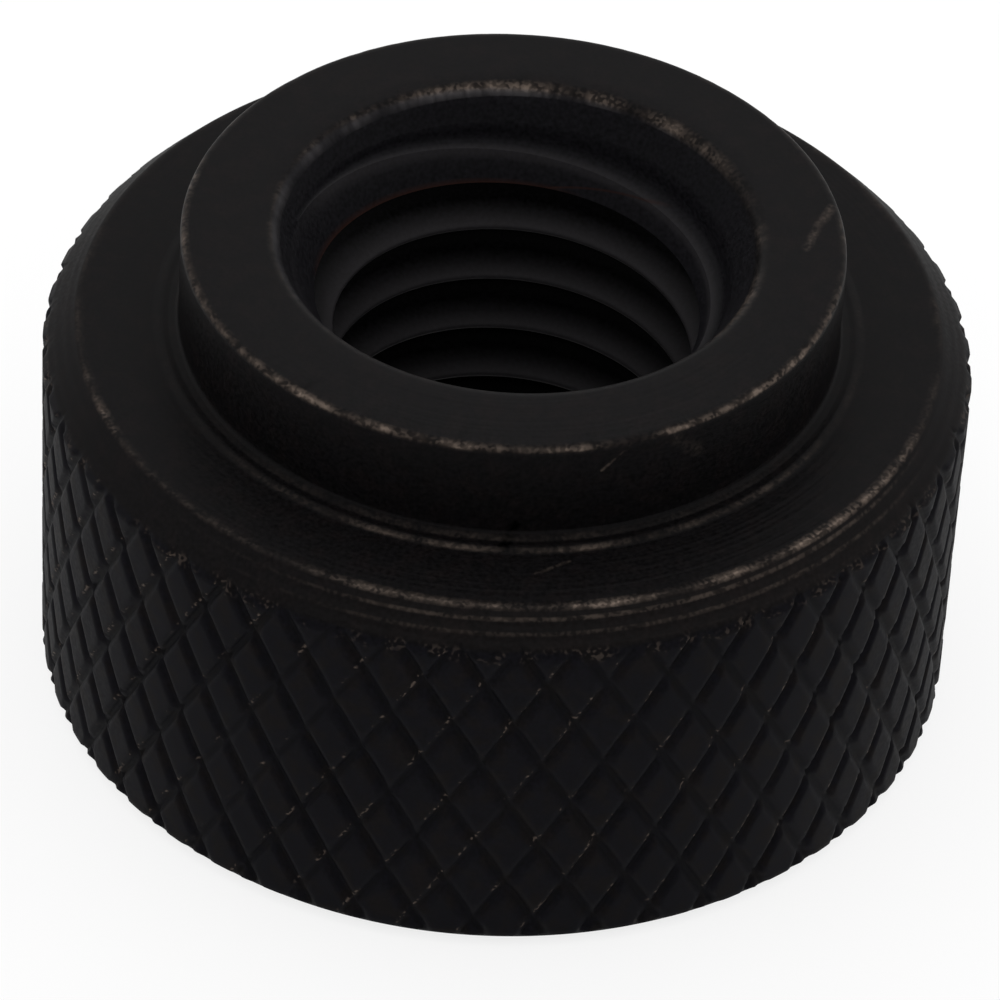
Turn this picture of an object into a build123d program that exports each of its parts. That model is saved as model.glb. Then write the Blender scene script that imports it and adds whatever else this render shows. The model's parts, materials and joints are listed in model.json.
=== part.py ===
"""Knurled thumb nut: a round nut with a plain collar, a diamond-knurled grip and a threaded bore."""
import os
from math import pi, radians, tan

from build123d import *

os.makedirs("parts", exist_ok=True)

# Grip, the wide lower body the fingers turn
grip_diameter = 25.0
grip_height = 11.25
shoulder_chamfer_width = 0.9
shoulder_chamfer_height = 1.0
base_chamfer = 0.4

# Collar, the plain raised ring on the shoulder
collar_wall = 2.25
collar_height = 2.95
collar_edge = 0.12
collar_foot = 0.5

# Threaded bore, modelled at the crests of its thread
thread_diameter = 12.0
thread_pitch = 1.75
mouth_clearance = 0.6
mouth_edge = 0.25
countersink_angle = 60.0

# Knurl, two crossing hands of shallow helical grooves
knurl_pitch = 1.6
knurl_angle = 30.0
knurl_depth = 0.2
knurl_flank_angle = 90.0
left_groove_start = 1.25
right_groove_start = 1.75

total_height = grip_height + collar_height
grip_radius = grip_diameter / 2
bore_radius = (thread_diameter - 1.0825 * thread_pitch) / 2
mouth_radius = thread_diameter / 2 + mouth_clearance
collar_radius = mouth_radius + collar_wall
throat_radius = mouth_radius - mouth_edge
throat_depth = (throat_radius - bore_radius) / tan(radians(countersink_angle / 2))
groove_count = round(pi * grip_diameter / knurl_pitch)
groove_lead = pi * grip_diameter / tan(radians(knurl_angle))
overrun = 2 * knurl_depth

# One V-shaped cutter along each helix, a little proud of the grip's surface and ends
cutters = []
for left_handed, start in ((True, left_groove_start), (False, right_groove_start)):
    with BuildPart() as cutter:
        with BuildLine() as path:
            Helix(
                pitch=groove_lead,
                height=grip_height + 2 * overrun,
                radius=grip_radius,
                center=(0, 0, -overrun),
                lefthand=left_handed,
            )
        with BuildSketch(Plane(origin=path.line @ 0, x_dir=(1, 0, 0), z_dir=path.line % 0)):
            reach = 2 * knurl_depth
            half_width = reach * tan(radians(knurl_flank_angle / 2))
            Polygon(
                (-knurl_depth, 0),
                (reach - knurl_depth, half_width),
                (reach - knurl_depth, -half_width),
                align=None,
            )
        sweep(is_frenet=True)
    cutters.append(Rot(0, 0, start) * cutter.part)

with BuildPart() as nut:
    # Turned blank with the countersunk bore, one half section spun about the axis
    with BuildSketch(Plane.XZ):
        with BuildLine():
            Polyline(
                (bore_radius, throat_depth),
                (throat_radius, 0),
                (grip_radius - base_chamfer, 0),
                (grip_radius, base_chamfer),
                (grip_radius, grip_height - shoulder_chamfer_height),
                (grip_radius - shoulder_chamfer_width, grip_height),
                (collar_radius + collar_foot, grip_height),
                (collar_radius, grip_height + collar_foot),
                (collar_radius, total_height - collar_edge),
                (collar_radius - collar_edge, total_height),
                (mouth_radius, total_height),
                (throat_radius, total_height - mouth_edge),
                (bore_radius, total_height - mouth_edge - throat_depth),
                close=True,
            )
        make_face()
    revolve(axis=Axis.Z)

    # Diamond knurl: both hands of grooves, evenly spaced round the grip
    for hand in cutters:
        with PolarLocations(0, groove_count):
            add(hand, mode=Mode.SUBTRACT)

nut.part.label = "thumb_nut"
export_step(nut.part, "parts/thumb_nut.step")
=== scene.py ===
"""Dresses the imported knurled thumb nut: one turned, knurled and tapped piece of blackened steel."""
import json

import bpy
import numpy as np
from mathutils import Matrix, Vector


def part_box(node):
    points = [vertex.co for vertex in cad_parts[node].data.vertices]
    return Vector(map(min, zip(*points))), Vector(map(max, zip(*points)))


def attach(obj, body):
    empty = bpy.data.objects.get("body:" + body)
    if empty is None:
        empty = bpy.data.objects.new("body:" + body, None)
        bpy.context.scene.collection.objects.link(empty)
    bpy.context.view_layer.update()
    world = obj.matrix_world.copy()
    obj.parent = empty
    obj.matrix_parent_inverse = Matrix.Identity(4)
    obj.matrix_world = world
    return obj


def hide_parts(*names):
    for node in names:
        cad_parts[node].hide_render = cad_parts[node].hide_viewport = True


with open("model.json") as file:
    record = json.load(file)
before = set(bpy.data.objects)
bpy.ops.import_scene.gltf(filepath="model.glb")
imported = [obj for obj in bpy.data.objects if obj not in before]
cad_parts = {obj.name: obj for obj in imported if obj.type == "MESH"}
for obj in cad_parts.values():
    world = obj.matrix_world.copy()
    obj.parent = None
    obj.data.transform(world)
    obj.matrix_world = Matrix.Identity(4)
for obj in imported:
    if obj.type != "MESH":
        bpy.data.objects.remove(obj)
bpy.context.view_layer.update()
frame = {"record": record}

# ---- The grip: the knurled lower body that the fingers turn
# It is the wide part of a single turned piece of steel. Two hardened wheels rolled its side, and left
# two hands of V grooves that cross in diamonds.
# Lengths are in millimetres until the skin is made, and angles in radians about the bore.
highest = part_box("thumb_nut")[1]
grip_radius = highest[0] * 1000
top = highest[2] * 1000
turn = 2 * np.pi
base_radius = grip_radius - 0.4
rolled_foot = 0.4
rolled_top = 10.25
shoulder_radius = grip_radius - 0.9
shoulder_height = 11.25
groove_count = 49
groove_pitch = turn / groove_count
groove_lean = np.tan(np.radians(30)) / grip_radius
groove_starts = {-1: np.radians(0.191), 1: np.radians(2.809)}
groove_depths = {-1: 0.18, 1: 0.17}
groove_halves = {-1: 0.215, 1: 0.165}
groove_rounding = 0.02
steps_per_groove = 16
fine_count = groove_count * steps_per_groove
no_gap = 0.8
first_angle = (groove_starts[-1] + groove_starts[1]) / 2


def waver(angle, height, waves, seed):
    """Smooth chance about 0, mostly within 2: cosines of whole waves round the nut, each leaning by
    its own amount up it, added and divided by the root of their number."""
    pick = np.random.default_rng(seed)
    count = 14
    round_nut = pick.integers(waves[0], waves[1] + 1, count)
    up_nut = pick.normal(0, 1, count) * round_nut / grip_radius
    start = pick.uniform(0, turn, count)
    total = sum(np.cos(k * angle + m * height + s) for k, m, s in zip(round_nut, up_nut, start))
    return total / np.sqrt(count)


def groove_cut(angle, height, hand):
    """Depth below the grip of one hand's grooves, the distance from the nearest groove, and the side
    of it. The depth falls in a straight line with the distance from the groove's helix, and the line
    is rounded at the rim and the root. Each groove has its own depth and a small shift of place, and
    all of them fade out above the base, where the wheels lifted off."""
    along = (angle - groove_starts[hand] - hand * groove_lean * height) / groove_pitch
    nearest = np.round(along)
    number = nearest.astype(int) % groove_count
    pick = np.random.default_rng(5 + hand)
    own_depth = 1 + pick.normal(0, 0.10, groove_count)[number]
    own_shift = pick.normal(0, 0.016, groove_count)[number]
    patchy = 1 + 0.15 * waver(angle, height, (3, 14), 30 + hand)
    across = np.abs(along - nearest - own_shift) * groove_pitch * grip_radius * np.cos(np.radians(30))
    half = groove_halves[hand] * (0.9 + 0.1 * patchy)
    fall = 1 - np.sqrt(across**2 + groove_rounding**2) / half
    rounded = (fall + np.sqrt(fall**2 + 0.008)) / 2
    lifted = np.clip((height - 0.15) / 0.45, 0, 1)
    side = np.sin(turn * (along - own_shift))
    return groove_depths[hand] * own_depth * patchy * rounded * lifted, across, side


# Rows of the grip stand where the grooves cross, so every groove runs along edges of the mesh
row_step = groove_pitch / steps_per_groove / groove_lean
row_start = (groove_starts[-1] - groove_starts[1]) / 2 / groove_lean
grip_heights = row_start + row_step * np.arange(200)
grip_heights = grip_heights[(grip_heights > 0.06) & (grip_heights < shoulder_height - 0.12)]
for corner in (rolled_foot, rolled_top):
    grip_heights[np.argmin(np.abs(grip_heights - corner))] = corner
fine_angles = first_angle + np.arange(fine_count) * turn / fine_count
angle, height = np.meshgrid(fine_angles, grip_heights)
left_cut, left_gap, _ = groove_cut(angle, height, -1)
right_cut, right_gap, right_side = groove_cut(angle, height, 1)
rolled = grip_radius - 0.006 - np.maximum(left_cut, right_cut)
rolled -= 0.004 * (1 + np.clip(waver(angle, height, (20, 90), 11), -1, 1))
turned = np.interp(
    height,
    [0, rolled_foot, rolled_top, shoulder_height],
    [base_radius, grip_radius, grip_radius, shoulder_radius],
)
on_band = rolled < turned
grip_radii = np.minimum(rolled, turned)
left_gap = np.where(on_band, left_gap, no_gap)
right_gap = np.where(on_band, right_gap, no_gap)
deeper_right = right_cut > left_cut

# ---- The shoulder, the collar and the mouth: plain turned surfaces above the grip
# A lathe tool faced the shoulder and left a stepped foot below the collar. The collar's edge and the
# mouth's lip are rounded by wear. Each pair is a ring's radius and height, from the grip inwards.
collar_radius = 8.85
throat_radius = 6.35
throat_height = top - 0.25

shoulder_rings = [(0.075, -0.085), (0.04, -0.045), (0, -0.015), (-0.05, 0), (-0.12, 0), (-0.25, 0)]
shoulder_rings = [(shoulder_radius + out, up) for out, up in shoulder_rings]
foot_rings = [(10.9, 0), (10.2, 0), (9.7, 0), (9.58, 0), (9.55, 0.005), (9.51, 0.02), (9.46, 0.04)]
foot_rings += [(9.39, 0.07), (9.33, 0.09), (9.29, 0.095), (9.25, 0.09), (9.17, 0.07), (9.13, 0.07)]
foot_rings += [(9.09, 0.085), (8.98, 0.125), (8.90, 0.155), (8.86, 0.18)]
foot_rings += [(collar_radius, up) for up in (0.22, 0.5, 1.3, 2.1)]
collar_rings = [(0, -0.3), (0, -0.2), (-0.005, -0.14), (-0.03, -0.07), (-0.075, -0.025), (-0.15, 0)]
collar_rings += [(-0.25, 0)]
lip_rings = [(6.73, 0), (6.66, -0.006), (6.59, -0.022), (6.52, -0.055), (6.46, -0.10), (6.41, -0.16)]
lip_rings += [(6.375, -0.21), (6.345, -0.26)]
upper_rings = [(radius, shoulder_height + up) for radius, up in shoulder_rings + foot_rings]
upper_rings += [(collar_radius + out, top + up) for out, up in collar_rings]
upper_rings += [(7.9, top), (7.2, top)] + [(radius, top + up) for radius, up in lip_rings]

# Where the oxide has rubbed off: a ring's radius and height, how far from it the wear reaches, and
# the wear's strength at a few places round it, in pairs of degrees from the x axis and strength
collar_knocks = [(-180, 5), (-125, 15), (-121, 60), (-117, 10), (-99, 15), (-97, 35), (-94, 10)]
collar_knocks += [(-86, 20), (-83, 60), (-78, 50), (-75, 10), (-66, 2), (-62, 45), (-51, 60), (-46, 10)]
collar_knocks += [(-42, 65), (-30, 50), (-22, 30), (-12, 10), (20, 4), (150, 4), (165, 15)]
collar_rub = [(-180, 10), (-165, 14), (-145, 17), (-130, 20), (-100, 16), (-88, 12), (-70, 6), (-50, 8)]
collar_rub += [(-20, 7), (0, 4), (90, 2), (150, 5)]
lip_rub = [(-180, 8), (-150, 10), (-130, 3), (-90, 0), (-40, 2), (-24, 16), (-18, 18), (-10, 4), (30, 6)]
lip_rub += [(50, 18), (65, 22), (76, 42), (95, 34), (110, 40), (118, 12), (135, 16), (152, 20), (160, 10)]
shoulder_knocks = [(-180, 2), (-167, 4), (-164, 16), (-160, 4), (-155, 36), (-150, 8), (-125, 4)]
shoulder_knocks += [(-110, 10), (-108, 20), (-104, 34), (-98, 16), (-91, 12), (-88.5, 40), (-86, 12)]
shoulder_knocks += [(-80, 30), (-69, 42), (-66, 16), (-57, 40), (-52, 16), (-45, 50), (-38, 36)]
shoulder_knocks += [(-22, 28), (-17, 4)]
foot_rub = [(-180, 0), (-140, 2), (-118, 8), (-104, 15), (-92, 15), (-88, 4), (-86, 18), (-66, 16)]
foot_rub += [(-62, 8), (-45, 11), (-25, 2)]
inner_foot_rub = [(-180, 0), (-118, 4), (-90, 8), (-60, 5), (-25, 0)]
shoulder_edge = (11.56, 11.25, 0.14, shoulder_knocks)
worn_rings = [
    (8.83, 14.17, 0.09, collar_knocks),
    (8.79, 14.19, 0.17, collar_rub),
    (6.44, 14.08, 0.28, lip_rub),
    shoulder_edge,
    (9.04, 11.35, 0.10, inner_foot_rub),
    (9.44, 11.30, 0.11, foot_rub),
]

# How high the foot's steps stand, and how plain the lathe's marks are, in the same way. The marks' share
# also paints highlights on the chamfer's steps, strongest at the front.
foot_top = shoulder_height + 0.17
foot_steps = [(-180, 0.2), (-150, 0.3), (-130, 0.8), (-118, 1), (-60, 1), (-40, 0.6), (-15, 0.25)]
foot_steps += [(90, 0.2)]
# Painted highlight: these strengths also brighten the chamfer's steps as bare steel, strongest at the
# front
tool_marks_and_highlights = [(-180, 0.15), (-150, 0.2), (-118, 0.4), (-100, 0.8), (-70, 1), (-45, 1), (-20, 0.3)]
tool_marks_and_highlights += [(-5, 0.15)]


def round_the_nut(t, pairs):
    """Strength at angle t, in straight lines between pairs of degrees and strength."""
    degrees, strengths = np.array(pairs).T
    return np.interp(np.degrees(t), degrees, strengths, period=360)


def turned_ring(radius, height, count):
    """Points x = r cos t, y = r sin t, z = h at equal steps of t, with their wear in hundredths and
    how plain the lathe's marks are, which also paint highlights on the chamfer. The wear is the sum
    over the worn rings of strength x (1 - distance / reach), more or less by chance, and it lowers the
    points by up to 0.02 x dents."""
    t = first_angle + np.arange(count) * turn / count
    wear = np.zeros(count)
    for ring_radius, ring_height, reach, pairs in worn_rings:
        near = max(0, 1 - np.hypot(radius - ring_radius, height - ring_height) / reach)
        wear += near * round_the_nut(t, pairs)
    wear *= np.clip(0.9 + 0.5 * waver(t, 0, (4, 30), 31) + 0.3 * waver(t, 0, (30, 160), 33), 0.2, 2)
    dents = np.clip(1 + waver(t, 0, (25, 150), 31) + 0.6 * waver(t, 0, (2, 9), 32), 0, 3)
    level = height - np.clip(wear / 30, 0, 1) * 0.02 * dents
    if shoulder_height < height < foot_top:
        level -= (height - shoulder_height) * (1 - round_the_nut(t, foot_steps)) * 0.8
    tooling_and_highlights = round_the_nut(t, tool_marks_and_highlights) * (0.25 if height > shoulder_height + 0.2 else 1)
    return np.stack([radius * np.cos(t), radius * np.sin(t), level], 1), wear, tooling_and_highlights


# ---- The bore: a coarse right-hand thread, countersunk at both ends
# A tap cut it from end to end, a little off the collar's centre, after a 60 degree countersink. The
# first ridge below the mouth is pushed down a little at the back, and the groove above it has all but
# closed. Each row of the mesh is one helix, so that crests and corners are clean edges.
thread_pitch = 1.75
drilled_radius = next(m["dims"]["r_mm"] for m in frame["record"]["mounts"] if m["name"] == "thread")
sharp_radius = drilled_radius - np.sqrt(3) * thread_pitch / 8 - 0.02
crest_rounding = 0.19
crest_half = 0.1
root_radius = 6.0
crest_height = 10.47
cone_slope = np.tan(np.radians(30))
rim_heights = (0.1, top - 0.30)
bore_count = 196
stations = np.array([0, 0.5, 0.8, 1, 1.08, 1.3, 1.6, 2, 3])
rows_per_turn = 2 * len(stations) - 2
turns = np.arange(-8, 4)


def cone(height):
    """Radius of the countersinks: it narrows from each end by the tangent of half their angle."""
    upper = throat_radius - (throat_height - height) * cone_slope
    lower = throat_radius - height * cone_slope
    return np.maximum(upper, lower)


def crest_at(t, k):
    """Height of crest k at angle t: one pitch a turn, less a dip where the first ridge is pushed."""
    even = crest_height + thread_pitch * ((t - np.pi / 2) / turn + k)
    return even - 0.17 * np.exp(-(((even - 12.1) / 0.4) ** 2))


def half_thread(centre, side, half_gap, station):
    """Half a thread, from a crest to the middle of the groove, up or down by the side's sign.
    Its radius is the sharp radius + root(3 offset^2 + rounding^2), a flank of 30 degrees with a
    rounded crest, as far as the flat root. Stations 0 to 1 cross the crest, 1 to 2 the flank and
    2 to 3 the root. Station 1 moves out to where a countersink c + m offset cuts the flank, which is
    at offset = (c m + root(c^2 m^2 + (3 - m^2)(c^2 - rounding^2))) / (3 - m^2). Near the mouth the
    root is no deeper than the countersink is at the middle of the groove."""
    lean = np.where((centre > top / 2) == (side > 0), 1, -1) * cone_slope
    c = np.maximum(cone(centre) - sharp_radius, crest_rounding)
    narrow = 3 - lean**2
    cut = (c * lean + np.sqrt((c * lean) ** 2 + narrow * (c**2 - crest_rounding**2))) / narrow
    middle = centre + side * half_gap
    closed = np.clip((middle - 12.0) / 0.6, 0, 1)
    deepest = root_radius + closed * (np.minimum(cone(middle) + 0.05, root_radius) - root_radius)
    root = np.sqrt(((deepest - sharp_radius) ** 2 - crest_rounding**2) / 3)
    root = np.minimum(root, half_gap - 0.02)
    corner = np.clip(cut, crest_half, root - 0.01)
    offset = np.clip(station, 0, 1) * corner
    offset = offset + (root - corner) * np.clip(station - 1, 0, 1)
    offset = offset + (half_gap - root) * np.clip(station - 2, 0, 1)
    height = centre + side * offset
    thread_radius = sharp_radius + np.sqrt(3 * np.minimum(offset, root) ** 2 + crest_rounding**2)
    cut_share = (corner > crest_half + 0.02) * np.clip((root - corner) / 0.05, 0, 1)
    return np.maximum(thread_radius, cone(height)), height, cut_share


bore_angle, bore_row = np.meshgrid(
    first_angle + np.arange(bore_count) * turn / bore_count, np.arange(rows_per_turn * len(turns))
)
step = bore_row % rows_per_turn
above = step < len(stations)
station = stations[np.where(above, step, rows_per_turn - step)]
k = turns[bore_row // rows_per_turn]
lower_crest, upper_crest = crest_at(bore_angle, k), crest_at(bore_angle, k + 1)
centre = np.where(above, lower_crest, upper_crest)
bore_radii, bore_heights, cut_share = half_thread(
    centre, np.where(above, 1, -1), (upper_crest - lower_crest) / 2, station
)
bore_heights = np.clip(bore_heights, *rim_heights)
at_rim = (bore_heights == rim_heights[0]) | (bore_heights == rim_heights[1])
bore_radii = np.where(at_rim, cone(bore_heights), bore_radii)
on_crest = (cone(centre) < sharp_radius + crest_rounding) & ~at_rim
beside_corner = cut_share * (bore_heights > top / 2) * ~at_rim
corner = (station == 1) * beside_corner
bore_wear = 10 * on_crest * np.clip(1.5 - station, 0, 0.5) / 0.5
bore_wear = bore_wear + 8 * beside_corner * above * np.clip(1.4 - np.abs(station - 1) / 0.4, 0, 1)
# Painted shade: the thread's flanks and roots are darkened below a height of 12.3 mm
bore_root_shade = np.clip((12.3 - bore_heights) / 0.5, 0, 1) * np.clip((station - 0.9) / 0.7, 0, 1)
rusty_arc = [(-180, 0), (70, 0), (84, 0.8), (100, 1), (160, 1), (175, 0.4), (180, 0)]
bore_rust = beside_corner * ~above * (bore_heights < 12.4) * round_the_nut(bore_angle, rusty_arc)
bore_rust = bore_rust * np.clip(1.2 - np.abs(station - 1) / 0.3, 0, 1) * 0.8

# Points that the rims have brought together are one, and the rows join one turn on past the seam
column = np.broadcast_to(np.arange(bore_count), bore_row.shape)
place = column * 10_000_000 + np.round(bore_heights * 1e4).astype(int)
_, kept, point_of = np.unique(place.ravel(), return_index=True, return_inverse=True)
point_of = point_of.reshape(place.shape)
bore_points = [bore_radii * np.cos(bore_angle), bore_radii * np.sin(bore_angle), bore_heights]
bore_points = np.stack(bore_points, 2)
onward = np.concatenate([point_of[:, 1:], np.roll(point_of[:, :1], -rows_per_turn, 0)], 1)
quads = np.stack([point_of[:-1], onward[:-1], onward[1:], point_of[1:]], 2)
quads = np.concatenate([quads[:, :-1].reshape(-1, 4), quads[: -rows_per_turn, -1]])
bore_faces = np.concatenate([quads[:, [0, 2, 1]], quads[:, [0, 3, 2]]])
bore_faces = bore_faces[(np.diff(np.sort(bore_faces, 1), axis=1) > 0).all(1)]

# ---- The nut's skin: every ring above joined into one closed mesh, as the steel is one piece
# From the bore's bottom rim it goes over the base, the grip, the shoulder, the collar and the lip,
# each left by a turning tool but for the rolled grip. Each point carries its marks: how far the
# nearest groove of each hand is, the side of it, wear, rust, painted shade in the thread's root, and how
# plain the lathe's marks are, which also sets painted highlights on the chamfer.
mark_names = ("left_gap", "right_gap", "right_side", "wear", "rust", "root_shade", "tooling_and_highlights")
no_mark = 0 * bore_angle
marks = [no_mark + no_gap, no_mark + no_gap, no_mark, bore_wear / 100, bore_rust, bore_root_shade, no_mark]
skin_points = [bore_points.reshape(-1, 3)[kept]]
skin_marks = [np.stack(marks, 2).reshape(-1, len(mark_names))[kept]]
skin_faces = [bore_faces]


def lay(points, left=no_gap, right=no_gap, side=0, wear=0, tooling_and_highlights=0):
    """Adds points with their marks to the skin, with no rust or painted root shade, and gives back their
    numbers.
    """
    start = sum(map(len, skin_points))
    skin_points.append(points)
    values = (left, right, side, wear, 0, 0, tooling_and_highlights)
    skin_marks.append(np.stack([value + np.zeros(len(points)) for value in values], 1))
    return start + np.arange(len(points))


def stitch(below, above):
    """Triangles from one ring to the next: pairs where both have as many points, and threes where
    one has half as many."""
    few = below if len(below) <= len(above) else above
    many = above if few is below else below
    few_next = np.roll(few, -1)
    if len(few) == len(many):
        far = np.roll(many, -1)
        triangles = [(few, few_next, far), (few, far, many)]
    else:
        even, odd, far = many[::2], many[1::2], np.roll(many[::2], -1)
        triangles = [(few, odd, even), (few, few_next, odd), (few_next, far, odd)]
    for a, b, c in triangles:
        skin_faces.append(np.stack([a, b, c] if few is below else [a, c, b], 1))


ring = point_of[0]
base_rings = [(196, 6.325, 0.04), (196, 6.36, 0.01), (196, 6.42, 0), (196, 6.6, 0), (392, 8.4, 0)]
base_rings += [(784, 11.5, 0), (784, base_radius - 0.1, 0), (784, base_radius - 0.03, 0.004)]
for count, radius, level in base_rings:
    points, _, tooling_and_highlights = turned_ring(radius, level, count)
    following = lay(points, tooling_and_highlights=tooling_and_highlights)
    stitch(ring, following)
    ring = following
grip_points = np.stack([grip_radii * np.cos(angle), grip_radii * np.sin(angle), height], 2)
grip_points = grip_points.reshape(-1, 3)
edge_radius, edge_height, edge_reach, edge_knocks = shoulder_edge
edge_near = 1 - np.hypot(grip_radii - edge_radius, height - edge_height) / edge_reach
edge_wear = np.clip(edge_near, 0, 1) * round_the_nut(angle, edge_knocks) / 100
grip_tooling_and_highlights = np.where(on_band, 0, round_the_nut(angle, tool_marks_and_highlights))
grip_marks = [m.ravel() for m in (left_gap, right_gap, right_side, edge_wear, grip_tooling_and_highlights)]
grid = lay(grip_points, *grip_marks).reshape(angle.shape)
stitch(ring, grid[0])
a, b, c, d = grid[:-1], np.roll(grid[:-1], -1, 1), np.roll(grid[1:], -1, 1), grid[1:]
rises = deeper_right[:-1] & deeper_right[1:]
skin_faces.append(np.stack([a, b, np.where(rises, c, d)], 2).reshape(-1, 3))
skin_faces.append(np.stack([np.where(rises, a, b), c, d], 2).reshape(-1, 3))
ring = grid[-1]
fine_rings = 4
for number, (radius, level) in enumerate(upper_rings):
    count = fine_count if number < fine_rings else fine_count // 2
    points, wear, tooling_and_highlights = turned_ring(radius, level, count)
    following = lay(points, wear=wear / 100, tooling_and_highlights=tooling_and_highlights)
    stitch(ring, following)
    ring = following
stitch(ring, point_of[-1])

# The bore and its mouth lie off the collar's centre
all_points, all_marks = np.concatenate(skin_points), np.concatenate(skin_marks)
off_centre = 0.12
from_axis = np.hypot(all_points[:, 0], all_points[:, 1])
all_points[:, 0] += off_centre * np.clip((8.4 - from_axis) / 1.6, 0, 1)
nut_mesh = bpy.data.meshes.new("nut_skin")
nut_mesh.from_pydata((all_points / 1000).tolist(), [], np.concatenate(skin_faces).tolist())
for name, values in zip(mark_names, all_marks.T):
    attribute = nut_mesh.attributes.new(name, "FLOAT", "POINT")
    attribute.data.foreach_set("value", np.ascontiguousarray(values, dtype=np.float32))
nut_mesh.polygons.foreach_set("use_smooth", np.ones(len(nut_mesh.polygons), dtype=bool))

# The two corners of the ridge that the countersink cuts are sharp
cornered = np.zeros(len(all_points), dtype=bool)
cornered[: len(kept)] = (corner.ravel() > 0.1)[kept]
edge_ends = np.empty(2 * len(nut_mesh.edges), dtype=np.int32)
nut_mesh.edges.foreach_get("vertices", edge_ends)
sharp = nut_mesh.attributes.new("sharp_edge", "BOOLEAN", "EDGE")
sharp.data.foreach_set("value", cornered[edge_ends].reshape(-1, 2).all(1))
nut_mesh.update()
nut = bpy.data.objects.new("nut_skin", nut_mesh)
bpy.context.scene.collection.objects.link(nut)
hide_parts("thumb_nut")
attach(nut, "root")

# ---- The finish: hot black oxide, rubbed down to bright steel on the edges
# The nut was boiled in a blackening salt bath, which leaves the lathe's and the wheels' marks to be
# seen. Since then its edges have rubbed against other steel, and a little rust has formed inside.


class Wire:
    """A shader socket that can be used in sums: each operator adds one Math node to its tree."""

    def __init__(self, tree, socket=None):
        self.tree = tree
        self.socket = socket

    def node(self, kind, settings=None, sockets=None):
        """Adds a node, sets it, fills or links its sockets, and gives its outputs by name."""
        made = self.tree.nodes.new(kind)
        for name, value in (settings or {}).items():
            setattr(made, name, value)
        for name, value in (sockets or {}).items():
            if isinstance(value, Wire):
                self.tree.links.new(value.socket, made.inputs[name])
            else:
                made.inputs[name].default_value = value
        return {out.name: Wire(self.tree, out) for out in made.outputs if out.enabled}

    def math(self, operation, *others):
        """Adds one Math node, with this wire as the first of its values."""
        sockets = dict(enumerate((self, *others)))
        return self.node("ShaderNodeMath", {"operation": operation}, sockets)["Value"]

    def __add__(self, other):
        return self.math("ADD", other)

    __radd__ = __add__

    def __mul__(self, other):
        return self.math("MULTIPLY", other)

    __rmul__ = __mul__

    def __sub__(self, other):
        return self.math("SUBTRACT", other)

    def __rsub__(self, other):
        return self * -1.0 + other

    def __truediv__(self, other):
        return self.math("DIVIDE", other)

    def clamp(self):
        """Keeps the value between 0 and 1."""
        return self.node("ShaderNodeClamp", sockets={"Value": self})["Result"]

    def smooth(self, zero_at, one_at):
        """A smooth rise from 0 to 1 between two values, the first of which may be the larger."""
        sockets = {"Value": self, "From Min": zero_at, "From Max": one_at}
        return self.node("ShaderNodeMapRange", {"interpolation_type": "SMOOTHSTEP"}, sockets)["Result"]

    def mix(self, first, second):
        """Blends two colours, with this wire as the share of the second."""
        sockets = {0: self, 6: first, 7: second}
        return self.node("ShaderNodeMix", {"data_type": "RGBA"}, sockets)["Result"]


black_steel = bpy.data.materials.new("black_oxide_steel")
black_steel.use_nodes = True
black_steel.node_tree.nodes.clear()
steel = Wire(black_steel.node_tree)
object_place = steel.node("ShaderNodeTexCoord")["Object"]
in_mm = {"Vector": object_place, "Scale": 1000.0}
place_mm = steel.node("ShaderNodeVectorMath", {"operation": "SCALE"}, in_mm)["Vector"]
axes = steel.node("ShaderNodeSeparateXYZ", sockets={"Vector": place_mm})
x, y, z = axes["X"], axes["Y"], axes["Z"]
r = (x * x + y * y).math("SQRT")
left_gap, right_gap, right_side, wear, rust, root_shade, tooling_and_highlights = (
    steel.node("ShaderNodeAttribute", {"attribute_name": name})["Fac"] for name in mark_names
)


def noise(scale, vector=place_mm, detail=0.0, roughness=0.5):
    """Smooth chance from 0 to 1 about a half, at so many waves a millimetre."""
    sockets = {"Vector": vector, "Scale": scale, "Detail": detail, "Roughness": roughness}
    return steel.node("ShaderNodeTexNoise", {"noise_dimensions": "3D"}, sockets)["Fac"]


def joined(x_part, y_part, z_part):
    """A place made of three numbers."""
    return steel.node("ShaderNodeCombineXYZ", sockets={"X": x_part, "Y": y_part, "Z": z_part})["Vector"]


def vectors(operation, first, second):
    """The result of one step of vector arithmetic: a vector, or a number for a product or distance."""
    sockets = {"Vector": first, "Scale": second} if operation == "SCALE" else {0: first, 1: second}
    outputs = steel.node("ShaderNodeVectorMath", {"operation": operation}, sockets)
    return outputs.get("Vector") or outputs.get("Value")


# Texture of the metal: mottling at two sizes, lathe rings, and the chatter that crosses them
patch = noise(1.6, detail=1.0, roughness=0.7)
grain = noise(9.0)
out_x, out_y = x / r, y / r
rings = noise(1.0, joined(r * 9.0, z * 9.0 + out_x * 1.5, out_y * 1.5))
chatter = noise(1.0, joined(out_x * 24.0, out_y * 24.0, (r - z) * 2.5))

# The strokes of knocks and scratches wander with the mottling
wander = vectors("SCALE", (0.25, -0.2, 0.3), patch - 0.5)
wandering = vectors("ADD", place_mm, wander)


def stroke(width, begin, finish):
    """1 along a straight line between two places, each of degrees, radius and height, that falls to
    0 at a distance of width: 1 - |p - run clamp(p . run / run^2)| / width, with p from the beginning."""
    ends = [(p * np.cos(np.radians(d)), p * np.sin(np.radians(d)), h) for d, p, h in (begin, finish)]
    run = np.subtract(ends[1], ends[0])
    from_begin = vectors("SUBTRACT", wandering, ends[0])
    share = vectors("DOT_PRODUCT", from_begin, run / float(run @ run)).clamp()
    apart = vectors("DISTANCE", from_begin, vectors("SCALE", run, share))
    return (1 - apart / width).clamp()


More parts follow.
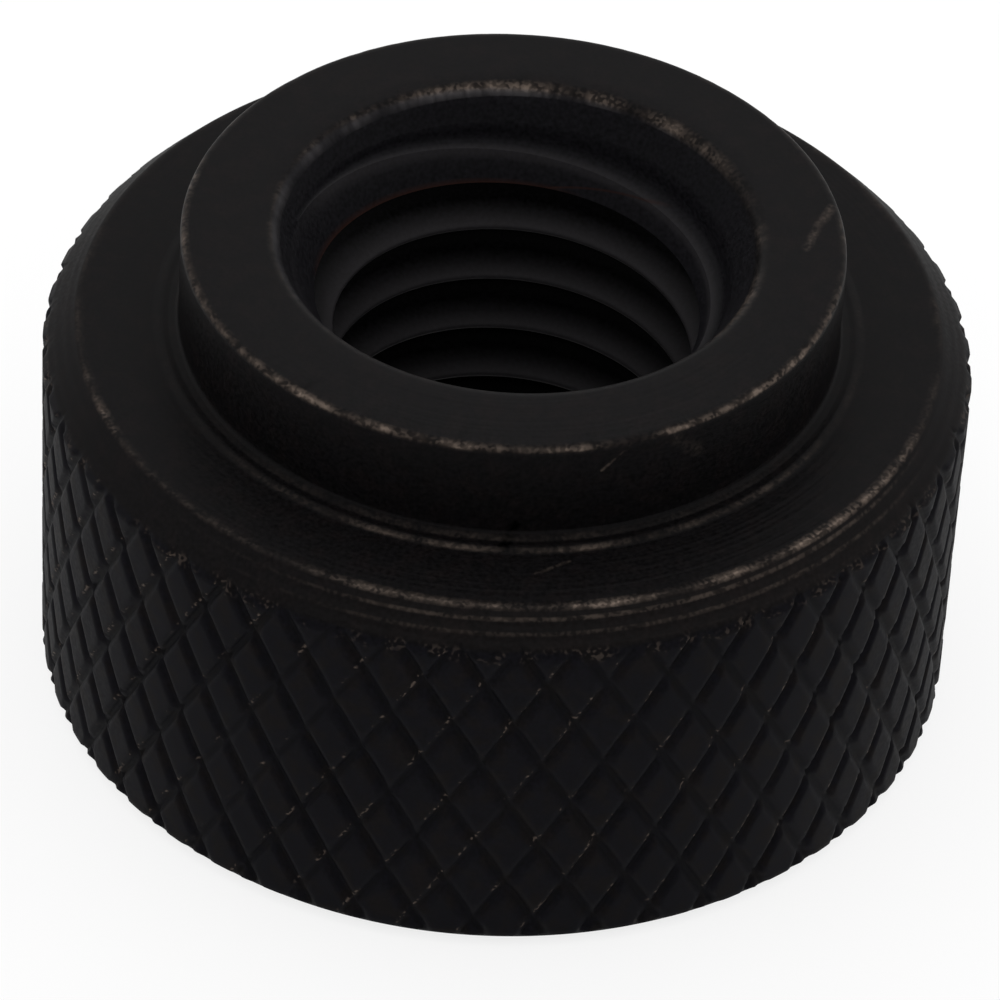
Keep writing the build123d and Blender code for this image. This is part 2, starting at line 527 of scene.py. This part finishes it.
on_grip = z.smooth(rolled_top + 0.2, rolled_top + 0.05) * r.smooth(base_radius - 0.2, base_radius)
on_chamfer = z.smooth(rolled_top + 0.1, rolled_top + 0.25)
on_chamfer = on_chamfer * r.smooth(shoulder_radius - 0.03, shoulder_radius + 0.02)
in_bore = r.smooth(throat_radius + 0.15, throat_radius)
tool_feed = 0.285
steps = ((z - x * 0.005 - 11.02) * (turn / tool_feed)).math("COSINE") * on_chamfer * tooling_and_highlights
broken = (chatter.smooth(0.35, 0.70) + grain.smooth(0.42, 0.62)) * (1 - in_bore) + in_bore * 0.7

# Bare steel, where the oxide has rubbed off: beside the grooves, at the knurl's upper end, in knocks
# and scratches, and on the worn edges and the steps of the chamfer, where it is partly painted highlight
burrs = (1 - (right_gap - 0.16).math("ABSOLUTE") / 0.06).clamp() * right_side.smooth(-0.05, -0.35)
burrs = burrs * grain.smooth(0.54, 0.64) * patch.smooth(0.50, 0.60)
tips = z.smooth(10.0, 10.25) * z.smooth(10.5, 10.34) * r.smooth(12.2, 12.35)
tips = tips * grain.smooth(0.50, 0.70) * patch.smooth(0.45, 0.60)
strokes = (
    stroke(0.06, (-68, collar_radius, 14.12), (-73, collar_radius, 13.35)) * 0.14
    + stroke(0.28, (-60, collar_radius, 13.9), (-55, collar_radius, 13.2)) * 0.035
    + stroke(0.16, (0.5, 7.75, top), (13, 8.65, top)) * 0.09
    + stroke(0.08, (-79, 9.83, shoulder_height), (-84, 10.3, shoulder_height)) * 0.08
)
# Painted shade: a dark stroke where a dent crosses the collar's foot
dent_shade = (stroke(0.2, (-87.0, 8.87, 11.66), (-88.8, 9.3, 11.33)) * 1.6).clamp()
# Partly wear and partly painted highlight: bright steel along the chamfer's steps, strongest at the front
ridge_wear_and_highlights = steps.smooth(0.2, 1) * z.smooth(10.4, 11.1)
bare = wear * (0.25 + broken) + ridge_wear_and_highlights * (0.2 + broken) * 0.11 + on_chamfer * tooling_and_highlights * 0.012
bare = (bare + burrs * 0.5 + tips * 0.16 + strokes * (0.3 + broken)).clamp()

# The oxide's colour, with painted shade in the knurl's grooves and the thread's root, and the rust over
# it all
# Painted shade: the oxide is darkened near the middle of each knurl groove
painted_groove_shade = (1 - left_gap / 0.14).clamp() * 0.5 + (1 - right_gap / 0.10).clamp() * 0.5
oxide = on_grip.mix((0.0040, 0.0036, 0.0039, 1), (0.0038, 0.0036, 0.0051, 1))
oxide = patch.smooth(0.42, 0.70).mix(oxide, (0.0052, 0.0042, 0.0044, 1))
oxide = in_bore.mix(oxide, (0.0064, 0.0061, 0.0073, 1))
tone = 0.4 + 1.1 * grain - 0.6 * (painted_groove_shade + root_shade * 1.25) - dent_shade
oxide = vectors("SCALE", oxide, tone)
metal = in_bore.mix((0.17, 0.132, 0.108, 1), (0.15, 0.14, 0.145, 1))
colour = bare.mix(oxide, metal)
scrape = (1 - (z - x * 0.17 - 11.66).math("ABSOLUTE") / 0.04).clamp() * in_bore * y.smooth(1.0, 2.0)
scrape = scrape * x.smooth(0.6, 1.1) * x.smooth(4.4, 3.4)
colour = (rust + scrape * 0.6).clamp().mix(colour, (0.022, 0.0085, 0.0060, 1))
rough = 0.36 + 0.20 * grain + on_grip * 0.13 + on_chamfer * 0.12
heights = rings * tooling_and_highlights * 0.018 + steps * 0.014
relief = steel.node("ShaderNodeBump", sockets={"Strength": 1.0, "Distance": 0.001, "Height": heights})
looks = {
    "Base Color": colour,
    "Metallic": bare,
    "Roughness": rough,
    "Specular IOR Level": 0.041,
    "Normal": relief["Normal"],
}
surface = steel.node("ShaderNodeBsdfPrincipled", sockets=looks)["BSDF"]
steel.node("ShaderNodeOutputMaterial", sockets={"Surface": surface})
nut_mesh.materials.append(black_steel)

# ---- The floor: a sheet of matt white card
# It is wide enough to fill every view, and lies a hair below the nut. Seen directly or mirrored, it
# is partly a plain white background, and the rest of it takes the light and the nut's shadow.
card_half = 4.0
card_level = -0.00002
card_mesh = bpy.data.meshes.new("white_card")
corners = [(card_half * i, card_half * j, card_level) for i, j in ((-1, -1), (1, -1), (1, 1), (-1, 1))]
card_mesh.from_pydata(corners, [], [(0, 1, 2, 3)])
card = bpy.data.objects.new("white_card", card_mesh)
bpy.context.scene.collection.objects.link(card)
matt_card = bpy.data.materials.new("matt_card")
matt_card.use_nodes = True
matt_card.node_tree.nodes.clear()
paper = Wire(matt_card.node_tree)
sockets = {"Base Color": (0.97, 0.97, 0.97, 1.0), "Roughness": 1.0, "Specular IOR Level": 0.0}
lit = paper.node("ShaderNodeBsdfPrincipled", sockets=sockets)["BSDF"]
white = paper.node("ShaderNodeEmission", sockets={"Color": (1, 1, 1, 1), "Strength": 1.0})["Emission"]
ray = paper.node("ShaderNodeLightPath")
seen = ray["Is Camera Ray"].math("MAXIMUM", ray["Is Glossy Ray"]) * 0.8
blend = paper.node("ShaderNodeMixShader", sockets={0: seen, 1: lit, 2: white})["Shader"]
paper.node("ShaderNodeOutputMaterial", sockets={"Surface": blend})
card_mesh.materials.append(matt_card)

# ---- The light: a soft tent, bright overhead and behind, dim towards the open front
# Its level lights the white card to just under white, so colours render about as they are written.
tent = bpy.data.worlds.new("light_tent")
bpy.context.scene.world = tent
tent.use_nodes = True
tent.node_tree.nodes.clear()
sky = Wire(tent.node_tree)
towards = sky.node("ShaderNodeTexCoord")["Generated"]
direction = sky.node("ShaderNodeSeparateXYZ", sockets={"Vector": towards})
facing = direction["Z"] * 0.8 + direction["Y"] * 0.6
level = 0.25 + 1.0 * facing.smooth(-0.55, 0.6)
glow = sky.node("ShaderNodeBackground", sockets={"Color": (1, 1, 1, 1), "Strength": level})["Background"]
sky.node("ShaderNodeOutputWorld", sockets={"Surface": glow})

# ---- The camera: a long lens looking down at the nut from the front
# It stands about 0.2 m away, 41 degrees above the floor, and is rolled by 3 degrees.
camera_lens = bpy.data.cameras.new("camera")
camera_lens.sensor_width = 36
camera_lens.lens = 252.1
camera_lens.clip_start = 0.01
camera_lens.clip_end = 20
camera = bpy.data.objects.new("camera", camera_lens)
bpy.context.scene.collection.objects.link(camera)
bpy.context.scene.camera = camera
aim = Vector((0.0000225, 0, 0.004834))
away = 0.1918
tilt = 0.7132
roll = 0.0566
eye = aim + away * Vector((0, -np.cos(tilt), np.sin(tilt)))
forward = (aim - eye).normalized()
sideways = Vector((1, 0, 0))
upward = sideways.cross(forward)
image_right = sideways * np.cos(roll) + upward * np.sin(roll)
image_up = upward * np.cos(roll) - sideways * np.sin(roll)
frame_of_view = Matrix((image_right, image_up, -forward)).transposed().to_4x4()
camera.matrix_world = Matrix.Translation(eye) @ frame_of_view
bpy.context.scene.view_settings.view_transform = "Standard"
